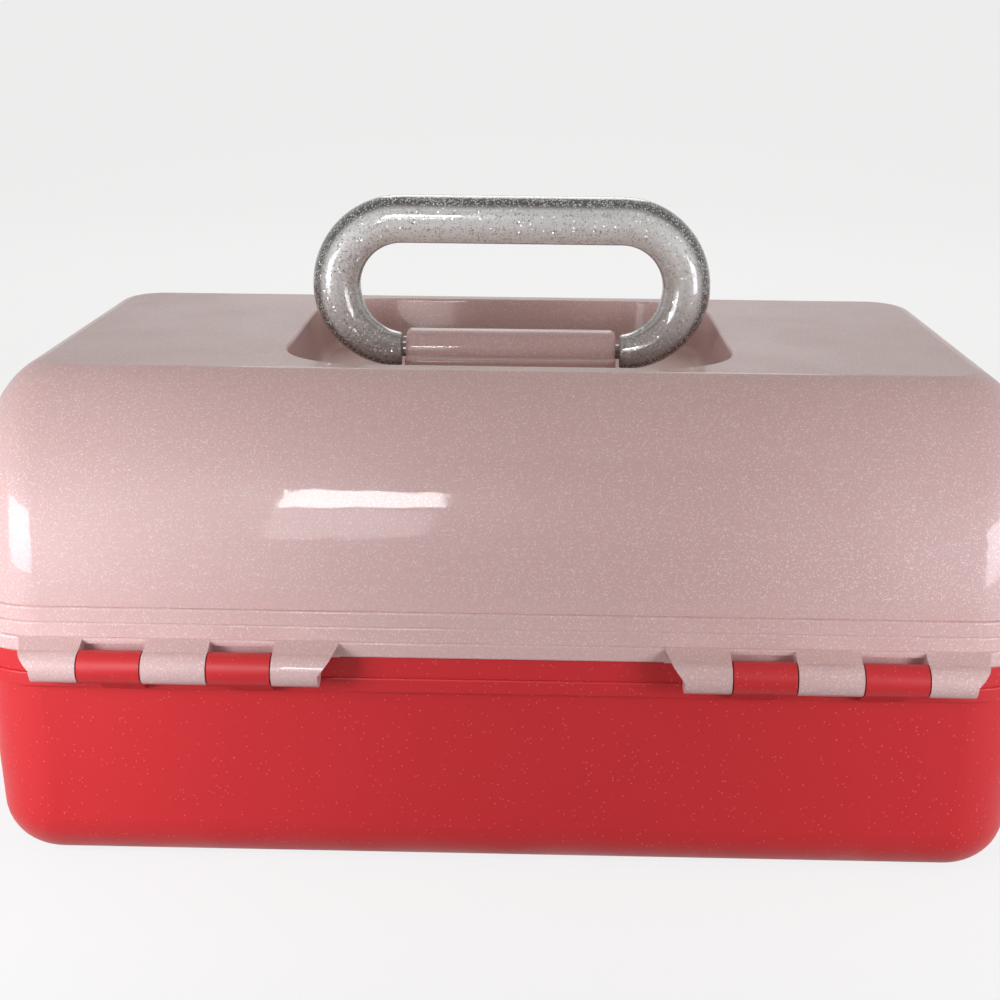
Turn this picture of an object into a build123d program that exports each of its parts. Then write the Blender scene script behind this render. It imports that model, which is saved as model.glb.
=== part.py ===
from build123d import *
import os
from itertools import product
from math import cos, pi, radians, sin, tan

# A storage case for make-up: a tub with two trays that rise on swing arms, a domed lid
# hinged along the back, a folding loop handle in the lid's top and a latch in front.
# Millimetres. +Z is up, -Y is the latch side, +Y the hinge side. The origin is the
# middle of the flat face that the case stands on.

# ---------------------------------------------------------------- driving dimensions
# Case
case_length = 324.0  # over the lid's flange, along X
case_depth = 210.0  # over the lid's flange, along Y
case_height = 150.0  # to the lid's flat top
parting_height = 72.0  # where tub and lid meet
parting_gap = 0.3
corner_radius = 26.0  # of the lid's flange, in plan
shell_wall = 2.4
sliding_gap = 0.2  # between flat faces that slide past each other
bury = 0.8  # how far a lug or a boss is sunk in the wall that carries it

# Tub
tub_inset = 3.5  # from the lid's flange to the tub's wall under the lip
tub_draft = 2.5  # degrees
tub_floor = 2.6
foot_round = 16.0  # between the tub's wall and its underside
lip_height = 11.0
lip_lower_height = 4.6
lip_lower_inset = 0.8
lip_upper_inset = 1.6
lip_edge_round = 0.6
tongue_height = 3.5  # locating rib that stands inside the lid's flange
tongue_clearance = 0.7
panel_inset = 26.0  # groove round the underside's middle
panel_groove_width = 3.0
panel_groove_depth = 0.8
panel_radius = 14.0

# Lid
flange_height = 4.7
flange_thickness = 3.1
flange_recess = 0.3  # flange's inner face runs on above the flange by this
step_height = 4.3  # each of the two steps above the flange
step_one_inset = 1.0
step_two_inset = 1.9
step_edge_round = 0.7
crown_foot_inset = 3.3
crown_end_inset = 20.0  # flange to flat top, at the ends
crown_side_inset = 38.4  # flange to flat top, front and back
crown_foot_radius = 22.7
crown_top_radius = 11.0
crown_end_power = 4.4  # the ends are steep and turn in late
crown_end_root = 0.6
crown_side_power = 2.0  # front and back lean in more evenly
crown_side_root = 0.77
crown_steps = 7
crown_crest_round = 3.0

# Recess in the lid's top, and the hub in its middle that carries the handle: a barrel
# round the handle's axis, half sunk in a plinth
recess_length = 141.2
recess_width = 121.2
recess_radius = 27.0
recess_depth = 16.2
recess_draft = 10.0
recess_floor_round = 3.0
recess_rim_round = 1.3
hub_length = 70.6
hub_radius = 7.3  # of its barrel, whose top is level with the lid's
hub_end_round = 2.0
plinth_width = 28.0
plinth_drop = 7.8  # from the lid's flat top to the plinth's
plinth_radius = 4.0
plinth_edge_round = 1.2

# Handle
handle_tube_radius = 8.0
handle_end_radius = 5.75
handle_bend_radius = 22.0
handle_taper_turn = 75.0  # degrees of each lower bend over which the tube thickens
handle_end_gap = 1.45  # between the handle's ends and the hub's
handle_end_round = 1.2
handle_pin_radius = 2.5
handle_pin_length = 5.2
handle_pin_clearance = 0.08

# Hinges
hinge_spacing_share = 0.58  # of the case's length, between the middles of the two hinges
hinge_axis_offset = 5.0  # behind the flange
hinge_axis_drop = 1.8  # under the parting plane
barrel_radius = 4.8
middle_knuckle_length = 18.6
tub_knuckle_length = 18.0
outer_knuckle_length = 13.4
knuckle_gap = 0.4
tab_flare = 5.5  # how much wider the outer tabs are at the flange
gusset_length = 12.5
gusset_reach = 2.5  # beyond the hinge's axis
notch_height = 3.0
notch_gap = 0.4
notch_depth = 1.8
hinge_pin_radius = 1.5
hinge_pin_clearance = 0.08
hinge_pin_sink = 0.3

# Latch
latch_length = 62.0
latch_thickness = 2.6
latch_pivot_rise = 17.5  # above the parting plane
latch_pivot_offset = 1.6  # in front of the flange
latch_barrel_radius = 3.4
latch_lug_length = 6.0
latch_lug_spacing = 54.2
latch_face_gap = 0.7  # flange to the latch's inner face
latch_reach = 19.5  # from the parting plane down to the latch's lower edge
latch_top_gap = 0.6
latch_corner_radius = 7.0
latch_edge_round = 0.8
latch_pad_margin = 6.0
latch_pad_depth = 0.6
latch_lip_length = 40.0  # finger lip along the latch's lower edge
latch_lip_reach = 3.4
latch_pin_radius = 1.25
latch_pin_clearance = 0.08
hook_length = 36.0
hook_height = 2.5
hook_tip_height = 0.8
hook_tip_depth = 0.9
hook_rim = 0.95  # tub's lip in front of the hook's groove
hook_gap = 0.3

# Swing arms
arm_length_share = 0.438  # of the case's depth
arm_foot_share = 0.295  # of the case's depth, from its middle to the rear arms' feet
arm_pitch_share = 0.238  # of the case's depth, between the two arms of a side
arm_lower_share = 0.5  # of an arm's length, from its foot to the lower tray's pin
arm_rest_angle = 15.6  # degrees above level, leaning forward
arm_width = 9.0
arm_thickness = 2.4
boss_radius = 4.5
boss_height = 2.3
pin_radius = 2.0
pin_clearance = 0.08
pin_head_radius = 3.5
pin_head_thickness = 0.9
base_pin_head_thickness = 1.4
counterbore_clearance = 0.3
pin_grip = 3.4  # length held in a blind boss
pin_cover = 5.0  # from a tray's edge to its pins' middle

# Trays
tray_end_inset = 14.4  # from the lid's flange to a tray's end wall
tray_front_inset = 15.0  # from the lid's flange to the trays' front wall
tray_depth_share = 0.59  # of the case's depth
tray_radius = 8.0
tray_wall = 1.8
tray_floor = 1.8
tray_foot_round = 3.0
tray_rim_round = 0.6
tray_gap = 1.6  # between the two trays
tray_drop = 33.0  # from the parting plane down to the lower tray's underside
lower_tray_height = 30.0
upper_tray_height = 29.4
divider_thickness = 1.6
divider_drop = 3.0  # dividers end below the rim by this
lower_divider_share = 0.532  # of the trays' depth, from the front wall to the long divider
upper_divider_share = 0.484
upper_cross_share = 0.332  # of half the trays' length, to the cross dividers in front

# Mirror
mirror_length = 184.0
mirror_width = 100.0
mirror_radius = 9.0
mirror_thickness = 2.0
mirror_gap = 0.2  # glass to its frame
mirror_end_margin = 16.0
mirror_side_margin = 6.0
mirror_frame_back = 1.8
mirror_frame_lip = 0.8  # frame stands proud of the glass by this
mirror_frame_round = 1.0
mirror_clearance = 0.3  # frame to the recess above it
post_radius = 4.0
post_depth_inset = 16.0  # posts, in from the frame's long edges
rivet_radius = 1.6
rivet_head_radius = 3.4
rivet_head_thickness = 1.2
rivet_grip = 6.0

# ---------------------------------------------------------------- places worked out
half_length = case_length / 2
half_depth = case_depth / 2
lip_bottom = parting_height - lip_height
lip_step = lip_bottom + lip_lower_height
lid_bottom = parting_height + parting_gap
flange_top = lid_bottom + flange_height
step_top = flange_top + step_height
crown_foot = step_top + step_height
ceiling = case_height - shell_wall
recess_floor = case_height - recess_depth
recess_underside = recess_floor - shell_wall
plinth_top = case_height - plinth_drop

handle_axis_z = case_height - hub_radius
handle_end_x = hub_length / 2 + handle_end_gap
handle_grip_z = handle_axis_z + 2 * handle_bend_radius

hinge_x = hinge_spacing_share * case_length / 2
hinge_y = half_depth + hinge_axis_offset
hinge_z = parting_height - hinge_axis_drop
tub_knuckle_x = middle_knuckle_length / 2 + knuckle_gap
outer_knuckle_x = tub_knuckle_x + tub_knuckle_length + knuckle_gap
hinge_half = outer_knuckle_x + outer_knuckle_length

latch_y = -half_depth - latch_pivot_offset
latch_z = parting_height + latch_pivot_rise
latch_face_y = -half_depth - latch_face_gap
latch_bottom = parting_height - latch_reach
latch_lug_x = latch_lug_spacing / 2
hook_front_y = -(half_depth - lip_lower_inset - hook_rim)

lower_tray_floor_z = parting_height - tray_drop
tray_half = half_length - tray_end_inset
tray_front_y = tray_front_inset - half_depth
tray_depth = tray_depth_share * case_depth
lower_divider_y = tray_front_y + lower_divider_share * tray_depth
upper_divider_y = tray_front_y + upper_divider_share * tray_depth
upper_front_divider_x = upper_cross_share * tray_half

rest = radians(arm_rest_angle)
arm_length = arm_length_share * case_depth
arm_lower_radius = arm_lower_share * arm_length
arm_foot_y = arm_foot_share * case_depth
arm_pitch = arm_pitch_share * case_depth
arm_foot_z = lower_tray_floor_z + lower_tray_height - pin_cover - arm_lower_radius * sin(rest)
arm_feet = {"rear": arm_foot_y, "front": arm_foot_y - arm_pitch}
upper_tray_floor_z = lower_tray_floor_z + lower_tray_height + tray_gap
arm_x = tray_half + boss_height + sliding_gap  # an arm's inner face
tub_boss_x = arm_x + arm_thickness + sliding_gap
lid_pin_y = hinge_y - arm_length * cos(rest)
lid_pin_z = hinge_z + arm_length * sin(rest)
lid_boss_x = tray_half + boss_height + sliding_gap

frame_top = recess_underside - mirror_clearance
glass_top = frame_top - mirror_frame_back
frame_bottom = glass_top - mirror_thickness - mirror_frame_lip
frame_length = mirror_length + 2 * mirror_end_margin
frame_width = mirror_width + 2 * mirror_side_margin
post_x = (mirror_length + mirror_end_margin) / 2
post_y = frame_width / 2 - post_depth_inset

sides = {"left": -1, "right": 1}

os.makedirs("parts", exist_ok=True)


def save(piece, name):
    """Label one finished piece, write it and print what it holds."""
    piece.part.label = name
    export_step(piece.part, f"parts/{name}.step")
    print(f"{name:28s} {len(piece.part.solids())} solid, {piece.part.volume / 1000:8.3f} cm3")


def slab(bottom, top, inset, mode=Mode.ADD):
    """A straight-sided layer of the case's plan outline, drawn in by inset."""
    with BuildSketch(Plane.XY.offset(bottom)) as plan:
        RectangleRounded(case_length - 2 * inset, case_depth - 2 * inset, corner_radius - inset)
    extrude(plan.sketch, amount=top - bottom, mode=mode)


def disc(x, y, z, radius, length, mode=Mode.ADD):
    """A cylinder along X that starts at x and runs on by length."""
    with BuildSketch(Plane.YZ.offset(x)) as section:
        with Locations((y, z)):
            Circle(radius)
    extrude(section.sketch, amount=length, mode=mode)


def side_disc(side, x, y, z, radius, length, mode=Mode.ADD):
    """A cylinder that starts x from the case's middle and runs outwards on one side."""
    disc(x if side > 0 else -x - length, y, z, radius, length, mode)


def bar(outline, x, length, mode=Mode.ADD):
    """A prism along X of a closed outline of (y, z) points."""
    with BuildSketch(Plane.YZ.offset(x)) as section:
        with BuildLine():
            Polyline(*outline, close=True)
        make_face()
    extrude(section.sketch, amount=length, mode=mode)


def tub_wall_y(z, wall=0.0):
    """Half the tub's depth at height z, drawn in by wall."""
    return half_depth - tub_inset - wall - (lip_bottom - z) * tan(radians(tub_draft))


def drafted_tub(bottom, top, wall, mode=Mode.ADD):
    """The tub's leaning walls between two heights, drawn in by wall."""
    levels = []
    for level in (bottom, top):
        inset = half_depth - tub_wall_y(level, wall)
        with BuildSketch(Plane.XY.offset(level)) as plan:
            RectangleRounded(case_length - 2 * inset, case_depth - 2 * inset, corner_radius - inset)
        levels.append(plan.sketch)
    loft(levels, mode=mode)


def crown(wall, mode=Mode.ADD):
    """The lid's dome above its steps, drawn in by wall on every side."""
    levels = []
    for step in range(crown_steps + 1):
        share = sin(step / crown_steps * pi / 2)
        end_bulge = (1 - share**crown_end_power) ** crown_end_root
        side_bulge = (1 - share**crown_side_power) ** crown_side_root
        end_inset = crown_end_inset + (crown_foot_inset - crown_end_inset) * end_bulge + wall
        side_inset = crown_side_inset + (crown_foot_inset - crown_side_inset) * side_bulge + wall
        radius = crown_top_radius + (crown_foot_radius - crown_top_radius) * side_bulge - wall
        height = crown_foot + share * (case_height - wall - crown_foot)
        with BuildSketch(Plane.XY.offset(height)) as plan:
            RectangleRounded(case_length - 2 * end_inset, case_depth - 2 * side_inset, radius)
        levels.append(plan.sketch)
    loft(levels, mode=mode)


def round_layers(layers, radius):
    """Round the outer edge of each level face of a stack of layers."""
    edges = []
    for face in layers.faces().filter_by(Axis.Z):
        edges.extend(face.outer_wire().edges())
    fillet(edges, radius)


def round_outline(x_size, y_size, radius, bottom, top, mode=Mode.ADD, y=0.0):
    """A rounded rectangle in plan, from one height to another."""
    with BuildSketch(Plane.XY.offset(bottom)) as plan:
        with Locations((0, y)):
            RectangleRounded(x_size, y_size, radius)
    extrude(plan.sketch, amount=top - bottom, mode=mode)


# ---------------------------------------------------------------- tub
with BuildPart() as tub_lip:
    slab(lip_bottom, lip_step, lip_lower_inset)
    slab(lip_step, parting_height, lip_upper_inset)
    round_layers(tub_lip, lip_edge_round)

# Knuckles of the right-hand hinge: each is a barrel, a web to the lip and, towards the
# case's middle, a gusset down to the lip's lower edge.
lip_root_y = half_depth - lip_upper_inset - bury
tub_web = [
    (lip_root_y, hinge_z - 0.75 * barrel_radius),
    (lip_root_y, parting_height - sliding_gap),
    (hinge_y - 0.7 * barrel_radius, hinge_z + 0.6 * barrel_radius),
    (hinge_y, hinge_z),
    (hinge_y, hinge_z - 0.7 * barrel_radius),
]
tub_gusset = [
    (lip_root_y, lip_bottom + lip_edge_round),
    (lip_root_y, hinge_z),
    (hinge_y, hinge_z),
    (hinge_y + gusset_reach, hinge_z - 0.8 * barrel_radius),
    (half_depth + lip_edge_round, lip_bottom + lip_edge_round),
]
with BuildPart() as tub_knuckles:
    for start in (hinge_x - tub_knuckle_x - tub_knuckle_length, hinge_x + tub_knuckle_x):
        disc(start, hinge_y, hinge_z, barrel_radius, tub_knuckle_length)
        bar(tub_web, start, tub_knuckle_length)
        bar(tub_gusset, start, gusset_length)

with BuildPart() as tub_cavity:
    drafted_tub(tub_floor, parting_height + tongue_height + 1, shell_wall)
    fillet(tub_cavity.edges().group_by(Axis.Z)[0], foot_round - shell_wall)

with BuildPart() as base_shell:
    drafted_tub(0, parting_height, 0)
    fillet(base_shell.edges().group_by(Axis.Z)[0], foot_round)
    add(tub_lip.part)
    slab(parting_height, parting_height + tongue_height, flange_thickness + tongue_clearance)
    fillet(base_shell.faces().sort_by(Axis.Z)[-1].edges(), lip_edge_round)
    add(tub_cavity.part, mode=Mode.SUBTRACT)
    # Hinge knuckles on both sides, bored for the pins that are pressed in
    add(tub_knuckles.part)
    mirror(tub_knuckles.part, about=Plane.YZ)
    for side in sides.values():
        bore_start = side * hinge_x - hinge_half
        disc(bore_start, hinge_y, hinge_z, hinge_pin_radius, 2 * hinge_half, Mode.SUBTRACT)
    # Groove under the front lip that the latch's hook reaches up into
    with BuildSketch(Plane.XY.offset(lip_bottom)):
        groove_depth = -hook_front_y - tub_wall_y(lip_bottom)
        with Locations((0, hook_front_y + groove_depth / 2)):
            Rectangle(hook_length + 4 * hook_gap, groove_depth)
    extrude(amount=hook_tip_height + hook_gap, mode=Mode.SUBTRACT)
    # Bosses on the end walls for the swing arms' feet
    boss_length = half_length - tub_inset - shell_wall + bury - tub_boss_x
    for side, foot_y in product(sides.values(), arm_feet.values()):
        side_disc(side, tub_boss_x, foot_y, arm_foot_z, boss_radius, boss_length)
        side_disc(side, tub_boss_x, foot_y, arm_foot_z, pin_radius, pin_grip, Mode.SUBTRACT)
    # Shallow groove round the middle of the underside
    with BuildSketch(Plane.XY):
        RectangleRounded(case_length - 2 * panel_inset, case_depth - 2 * panel_inset, panel_radius)
        offset(amount=-panel_groove_width, mode=Mode.SUBTRACT)
    extrude(amount=panel_groove_depth, mode=Mode.SUBTRACT)

save(base_shell, "base_shell")

# ---------------------------------------------------------------- lid
def recess_form(grow, bottom):
    """The recess in the lid's top as a solid, with its walls moved out by grow."""
    shrink = (case_height - bottom) * tan(radians(recess_draft))
    with BuildPart() as form:
        for level, inset in ((case_height, -grow), (bottom, shrink - grow)):
            with BuildSketch(Plane.XY.offset(level)):
                radius = recess_radius - inset
                RectangleRounded(recess_length - 2 * inset, recess_width - 2 * inset, radius)
        loft()
        fillet(form.edges().group_by(Axis.Z)[0], recess_floor_round + grow)
    return form.part


recess_skin = recess_form(shell_wall, recess_underside)
recess_pocket = recess_form(0, recess_floor)

with BuildPart() as hub_barrel:
    disc(-hub_length / 2, 0, handle_axis_z, hub_radius, hub_length)
    fillet(hub_barrel.edges(), hub_end_round)

with BuildPart() as handle_hub:
    plinth_root = recess_floor - shell_wall / 2
    round_outline(hub_length, plinth_width, plinth_radius, plinth_root, plinth_top)
    fillet(handle_hub.edges().group_by(Axis.Z)[-1], plinth_edge_round)
    add(hub_barrel.part)

# Knuckles of the right-hand hinge: the outer two widen towards the flange
tab_root_y = half_depth - bury
lid_tab = [
    (tab_root_y, lid_bottom),
    (tab_root_y, flange_top),
    (hinge_y, hinge_z + barrel_radius),
    (hinge_y, hinge_z),
    (hinge_y - 0.6 * barrel_radius, hinge_z),
    (half_depth + parting_gap, lid_bottom),
]
with BuildPart() as lid_knuckles:
    outer_start = hinge_x + outer_knuckle_x
    outer_end = outer_start + outer_knuckle_length
    disc(outer_start, hinge_y, hinge_z, barrel_radius, outer_knuckle_length + tab_flare)
    bar(lid_tab, outer_start, outer_knuckle_length + tab_flare)
    behind = hinge_y + 2 * barrel_radius
    with BuildSketch(Plane.XZ.offset(-behind)):
        with BuildLine():
            Polyline(
                (outer_end, hinge_z - 2 * barrel_radius),
                (outer_end, hinge_z),
                (outer_end + tab_flare, flange_top),
                (outer_end + 2 * tab_flare, flange_top),
                (outer_end + 2 * tab_flare, hinge_z - 2 * barrel_radius),
                close=True,
            )
        make_face()
    extrude(amount=behind - half_depth, mode=Mode.SUBTRACT)
    mirror(about=Plane.YZ.offset(hinge_x))
    disc(hinge_x - middle_knuckle_length / 2, hinge_y, hinge_z, barrel_radius, middle_knuckle_length)
    bar(lid_tab, hinge_x - middle_knuckle_length / 2, middle_knuckle_length)

lug_root_y = -(half_depth - crown_foot_inset - 2 * bury)
latch_lug = [
    (lug_root_y, crown_foot - bury),
    (lug_root_y, latch_z + 2 * latch_barrel_radius),
    (latch_y, latch_z + latch_barrel_radius),
    (latch_y, latch_z - latch_barrel_radius),
]
with BuildPart() as lid_shell:
    slab(lid_bottom, flange_top, 0)
    slab(flange_top, step_top, step_one_inset)
    slab(step_top, crown_foot, step_two_inset)
    round_layers(lid_shell, step_edge_round)
    crown(0)
    fillet(lid_shell.faces().sort_by(Axis.Z)[-1].edges(), crown_crest_round)
    # Hollow: a wide band inside the flange, then the straight foot and the dome
    flange_inside = flange_top + flange_recess
    slab(lid_bottom, flange_inside, flange_thickness, mode=Mode.SUBTRACT)
    slab(flange_inside, crown_foot, crown_foot_inset + shell_wall, mode=Mode.SUBTRACT)
    crown(shell_wall, mode=Mode.SUBTRACT)
    # Recess with its own wall, and the hub that the handle turns in
    add(recess_skin)
    add(recess_pocket, mode=Mode.SUBTRACT)
    fillet(lid_shell.faces().sort_by(Axis.Z)[-1].inner_wires()[0].edges(), recess_rim_round)
    add(handle_hub.part)
    axle_hole = handle_pin_radius + handle_pin_clearance
    hollow_length = hub_length - 2 * shell_wall
    hollow_width = plinth_width - 2 * shell_wall
    hollow_radius = plinth_radius - shell_wall
    hollow_top = handle_axis_z - axle_hole - shell_wall
    round_outline(
        hollow_length, hollow_width, hollow_radius, recess_underside, hollow_top, Mode.SUBTRACT
    )
    disc(-hub_length / 2, 0, handle_axis_z, axle_hole, hub_length, Mode.SUBTRACT)
    # Hinge knuckles, and shallow notches over the tub's knuckles
    add(lid_knuckles.part)
    mirror(lid_knuckles.part, about=Plane.YZ)
    with BuildSketch(Plane.XY.offset(lid_bottom)):
        notch_x = tub_knuckle_x + tub_knuckle_length / 2
        notch_length = tub_knuckle_length + 2 * notch_gap
        for side, place in product(sides.values(), (-notch_x, notch_x)):
            with Locations((side * hinge_x + place, half_depth)):
                Rectangle(notch_length, 2 * notch_depth)
    extrude(amount=notch_height, mode=Mode.SUBTRACT)
    for side in sides.values():
        bore = hinge_pin_radius + hinge_pin_clearance
        disc(side * hinge_x - hinge_half, hinge_y, hinge_z, bore, 2 * hinge_half, Mode.SUBTRACT)
    # Lugs for the latch
    for side in sides.values():
        lug_start = side * latch_lug_x - latch_lug_length / 2
        bar(latch_lug, lug_start, latch_lug_length)
        disc(lug_start, latch_y, latch_z, latch_barrel_radius, latch_lug_length)
        disc(lug_start, latch_y, latch_z, latch_pin_radius, latch_lug_length, Mode.SUBTRACT)
    # Bosses on the end walls that lift the upper tray
    lid_boss_length = half_length - crown_foot_inset - shell_wall + bury - lid_boss_x
    for side in sides.values():
        side_disc(side, lid_boss_x, lid_pin_y, lid_pin_z, boss_radius, lid_boss_length)
        side_disc(side, lid_boss_x, lid_pin_y, lid_pin_z, pin_radius, pin_grip, Mode.SUBTRACT)
    # Posts that the mirror's frame is riveted to
    with BuildSketch(Plane.XY.offset(frame_top)):
        with GridLocations(2 * post_x, 2 * post_y, 2, 2):
            Circle(post_radius)
    extrude(amount=ceiling + bury - frame_top)
    with BuildSketch(Plane.XY.offset(frame_top)):
        with GridLocations(2 * post_x, 2 * post_y, 2, 2):
            Circle(rivet_radius)
    extrude(amount=rivet_grip, mode=Mode.SUBTRACT)

save(lid_shell, "lid_shell")

for name, side in sides.items():
    with BuildPart() as hinge_pin:
        pin_half = hinge_half - hinge_pin_sink
        disc(side * hinge_x - pin_half, hinge_y, hinge_z, hinge_pin_radius, 2 * pin_half)
    save(hinge_pin, f"hinge_pin_{name}")

# ---------------------------------------------------------------- handle
bend_centre = (handle_end_x, handle_axis_z + handle_bend_radius)
taper_end = handle_taper_turn - 90
with BuildPart() as handle:
    # Lower bend, where the tube thickens away from its end
    with BuildLine(Plane.XZ) as lower_bend:
        CenterArc(bend_centre, handle_bend_radius, -90, handle_taper_turn)
    with BuildSketch(lower_bend.line ^ 0) as thin_end:
        Circle(handle_end_radius)
    with BuildSketch(lower_bend.line ^ 1) as thick_end:
        Circle(handle_tube_radius)
    sweep(multisection=True)
    fillet(handle.faces().sort_by(Axis.X)[0].edges(), handle_end_round)
    # Upper bend and half of the grip
    with BuildLine(Plane.XZ) as grip_line:
        CenterArc(bend_centre, handle_bend_radius, taper_end, 90 - taper_end)
        Line((handle_end_x, handle_grip_z), (0, handle_grip_z))
    with BuildSketch(grip_line.line ^ 0):
        Circle(handle_tube_radius)
    sweep()
    axle_start = handle_end_x - handle_pin_length
    disc(axle_start, 0, handle_axis_z, handle_pin_radius, handle_pin_length + handle_end_round)
    mirror(about=Plane.YZ)

save(handle, "handle")

# ---------------------------------------------------------------- latch
latch_top = latch_z - latch_barrel_radius - latch_top_gap
latch_height = latch_top - latch_bottom
latch_middle_z = (latch_top + latch_bottom) / 2
latch_outer_y = latch_face_y - latch_thickness
neck_half = latch_lug_x - latch_lug_length / 2 - sliding_gap
latch_hook = [
    (latch_face_y - latch_thickness / 2, lip_bottom - hook_gap - hook_height),
    (latch_face_y - latch_thickness / 2, lip_bottom - hook_gap),
    (hook_front_y + hook_gap, lip_bottom - hook_gap),
    (hook_front_y + hook_gap, lip_bottom - hook_gap + hook_tip_height),
    (hook_front_y + hook_gap + hook_tip_depth, lip_bottom - hook_gap + hook_tip_height),
    (hook_front_y + hook_gap + hook_tip_depth, lip_bottom - hook_gap - hook_height / 3),
]
finger_lip = [
    (latch_outer_y + latch_thickness / 2, latch_bottom + latch_thickness / 2),
    (latch_outer_y - latch_lip_reach, latch_bottom + latch_thickness / 4),
    (latch_outer_y - latch_lip_reach, latch_bottom + latch_thickness),
    (latch_outer_y + latch_thickness / 2, latch_bottom + 3 * latch_thickness),
]
with BuildPart() as latch:
    with BuildSketch(Plane.XZ.offset(-latch_face_y)):
        with Locations((0, latch_middle_z)):
            RectangleRounded(latch_length, latch_height, latch_corner_radius)
    extrude(amount=latch_thickness)
    fillet(latch.faces().sort_by(Axis.Y)[0].edges(), latch_edge_round)
    with BuildSketch(Plane.XZ.offset(-latch_outer_y)):
        pad_height = latch_height - 2 * latch_pad_margin - 2 * latch_thickness
        with Locations((0, latch_middle_z + latch_thickness)):
            RectangleRounded(latch_length - 2 * latch_pad_margin, pad_height, pad_height / 3)
    extrude(amount=-latch_pad_depth, mode=Mode.SUBTRACT)
    bar(finger_lip, -latch_lip_length / 2, latch_lip_length)
    lip_ends = latch.faces().sort_by(Axis.Y)[0]
    fillet(lip_ends.edges(), latch_edge_round)
    bar(latch_hook, -hook_length / 2, hook_length)
    # Neck and barrel between the lid's lugs
    with BuildSketch(Plane.XZ.offset(-latch_face_y)):
        with Locations((0, (latch_z + latch_middle_z) / 2)):
            Rectangle(2 * neck_half, latch_z - latch_middle_z)
    extrude(amount=latch_thickness - latch_pad_depth)
    disc(-neck_half, latch_y, latch_z, latch_barrel_radius, 2 * neck_half)
    latch_bore = latch_pin_radius + latch_pin_clearance
    disc(-neck_half, latch_y, latch_z, latch_bore, 2 * neck_half, Mode.SUBTRACT)

save(latch, "latch")

with BuildPart() as latch_pin:
    latch_pin_half = latch_lug_x + latch_lug_length / 2 - hinge_pin_sink
    disc(-latch_pin_half, latch_y, latch_z, latch_pin_radius, 2 * latch_pin_half)

save(latch_pin, "latch_pin")

# ---------------------------------------------------------------- trays
def pin_place(row, radius):
    """Where the pin at radius along an arm of one row lies, as (y, z)."""
    return (arm_feet[row] - radius * cos(rest), arm_foot_z + radius * sin(rest))


def tray_form(floor_z, top_z, wall, foot_round):
    """A tray's outline as a solid block, drawn in by wall."""
    with BuildPart() as form:
        x_size = 2 * (tray_half - wall)
        y_size = tray_depth - 2 * wall
        middle_y = tray_front_y + tray_depth / 2
        round_outline(x_size, y_size, tray_radius - wall, floor_z, top_z, y=middle_y)
        fillet(form.edges().group_by(Axis.Z)[0], foot_round)
    return form.part


def divider(x_size, y_size, x, y, bottom, top):
    """A thin wall that stands on a tray's floor."""
    with BuildSketch(Plane.XY.offset(bottom)) as plan:
        with Locations((x, y)):
            Rectangle(x_size, y_size)
    extrude(plan.sketch, amount=top - bottom)


def tray_rows(floor_z, height, row_y, front_xs, rear_xs):
    """Dividers of a tray: one wall along it, and cross walls in front and behind."""
    bottom = floor_z + tray_floor / 2
    top = floor_z + height - divider_drop
    divider(2 * tray_half - tray_wall, divider_thickness, 0, row_y, bottom, top)
    front_y = tray_front_y + tray_wall / 2
    rear_y = tray_front_y + tray_depth - tray_wall / 2
    for x in front_xs:
        divider(divider_thickness, row_y - front_y, x, (row_y + front_y) / 2, bottom, top)
    for x in rear_xs:
        divider(divider_thickness, rear_y - row_y, x, (row_y + rear_y) / 2, bottom, top)


def tray_bosses(places, hole):
    """Bosses on a tray's end walls at (y, z) places, bored right through."""
    inner_x = tray_half - tray_wall
    for side, (y, z) in product(sides.values(), places):
        side_disc(side, tray_half, y, z, boss_radius, boss_height)
        side_disc(side, inner_x, y, z, hole, tray_wall + boss_height, Mode.SUBTRACT)


lower_places = {row: pin_place(row, arm_lower_radius) for row in arm_feet}
upper_places = {row: pin_place(row, arm_length) for row in arm_feet}

tray_plans = {
    "lower_tray": (lower_tray_floor_z, lower_tray_height, lower_divider_y, (0.0,), ()),
    "upper_tray": (
        upper_tray_floor_z,
        upper_tray_height,
        upper_divider_y,
        (-upper_front_divider_x, upper_front_divider_x),
        (0.0,),
    ),
}
tray_places = {"lower_tray": lower_places, "upper_tray": upper_places}
for name, (floor_z, height, row_y, front_xs, rear_xs) in tray_plans.items():
    top = floor_z + height
    block = tray_form(floor_z, top, 0, tray_foot_round)
    cavity = tray_form(floor_z + tray_floor, top, tray_wall, tray_foot_round - tray_wall)
    with BuildPart() as tray:
        add(block)
        add(cavity, mode=Mode.SUBTRACT)
        fillet(tray.faces().sort_by(Axis.Z)[-1].edges(), tray_rim_round)
        tray_rows(floor_z, height, row_y, front_xs, rear_xs)
        tray_bosses(tray_places[name].values(), pin_radius)
        if name == "upper_tray":
            tray_bosses([(lid_pin_y, lid_pin_z)], pin_radius + pin_clearance)
    save(tray, name)

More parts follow.
